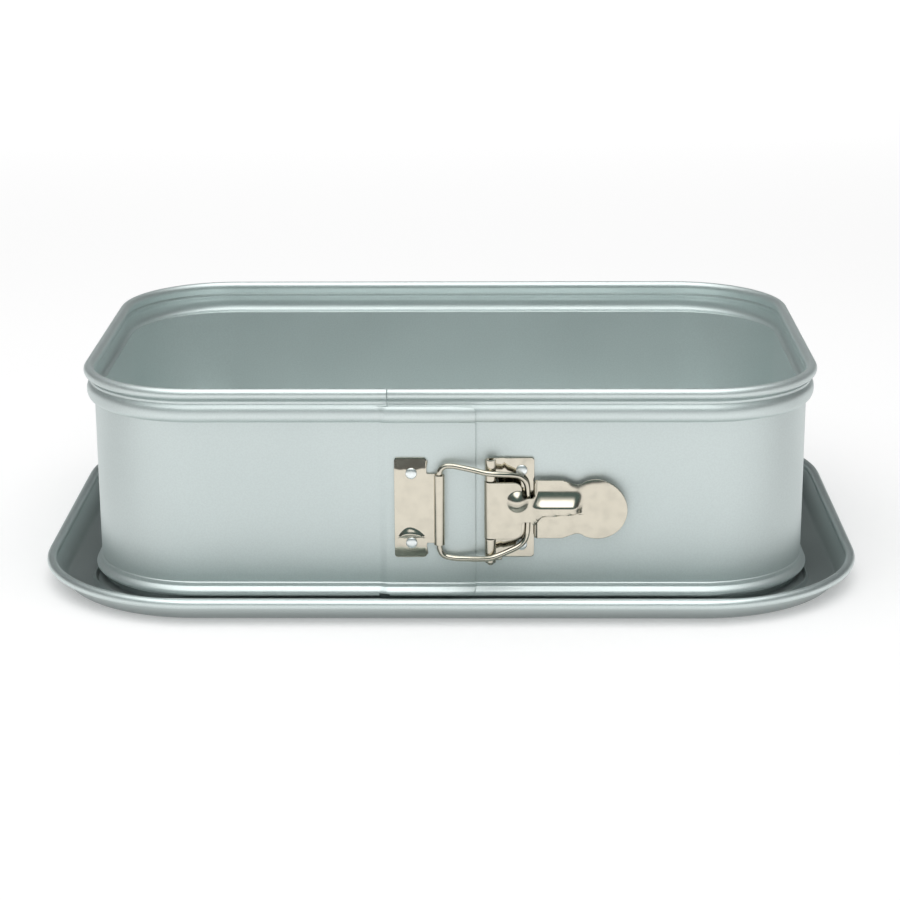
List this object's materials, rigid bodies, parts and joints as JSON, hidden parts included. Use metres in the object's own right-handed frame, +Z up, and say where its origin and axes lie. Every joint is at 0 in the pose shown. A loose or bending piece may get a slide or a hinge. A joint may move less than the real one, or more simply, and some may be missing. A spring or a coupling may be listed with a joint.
{
  "type": "rectangular springform pan",
  "caption": "Rectangular springform pan: a sprung side band with an over-centre lever latch, gripping a rimmed tray base.",
  "frame": {"origin": "middle of the pan on the surface it stands on", "axes": "+X along the pan's length, to the right seen from the latch side; +Z up; the latch faces -Y"},
  "size_m": [0.3234, 0.232, 0.0863],
  "materials": {
    "tray_coating": "satin silver-grey coating on pressed steel",
    "band_coating": "satin silver coating on sheet steel",
    "plate_nickel": "bright nickel plate",
    "lever_nickel": "bright nickel plate",
    "wire_nickel": "bright nickel plate on wire",
    "rivet_metal": "satin silver coating"
  },
  "bodies": {
    "tray": {"base_tray": "tray_coating"},
    "band": {"side_band": "band_coating", "lever_bracket": "plate_nickel", "lever_bracket_rivet_upper": "rivet_metal", "lever_bracket_rivet_lower": "rivet_metal", "hinge_pin": "wire_nickel"},
    "keeper": {"keeper_bracket": "plate_nickel", "keeper_rivet_upper": "rivet_metal", "keeper_rivet_lower": "rivet_metal"},
    "bail": {"bail_wire": "wire_nickel"},
    "lever": {"latch_lever": "lever_nickel"}
  },
  "joints": [
    {"name": "band_lift", "type": "slide", "parent": "tray", "child": "band", "axis": [0, 0, 1], "range_m": [0, 0.09]},
    {"name": "lever_swing", "type": "hinge", "parent": "band", "child": "lever", "pos_m": [0.016, -0.0938, 0.0391], "axis": [0, 0, -1], "range_deg": [0, 120]},
    {"name": "band_spread", "type": "slide", "parent": "band", "child": "keeper", "axis": [-1, 0, 0], "range_m": [0, 0.015], "deforming": ["side_band"]},
    {"name": "bail_swing", "type": "hinge", "parent": "keeper", "child": "bail", "pos_m": [-0.0035, -0.0938, 0.0391], "axis": [0, 0, -1], "range_deg": [0, 24]}
  ],
  "couplings": [
    {"joint": "band_spread", "follows": "lever_swing", "m_per_rad": 0.00716},
    {"joint": "bail_swing", "follows": "lever_swing", "ratio": 0.2}
  ]
}
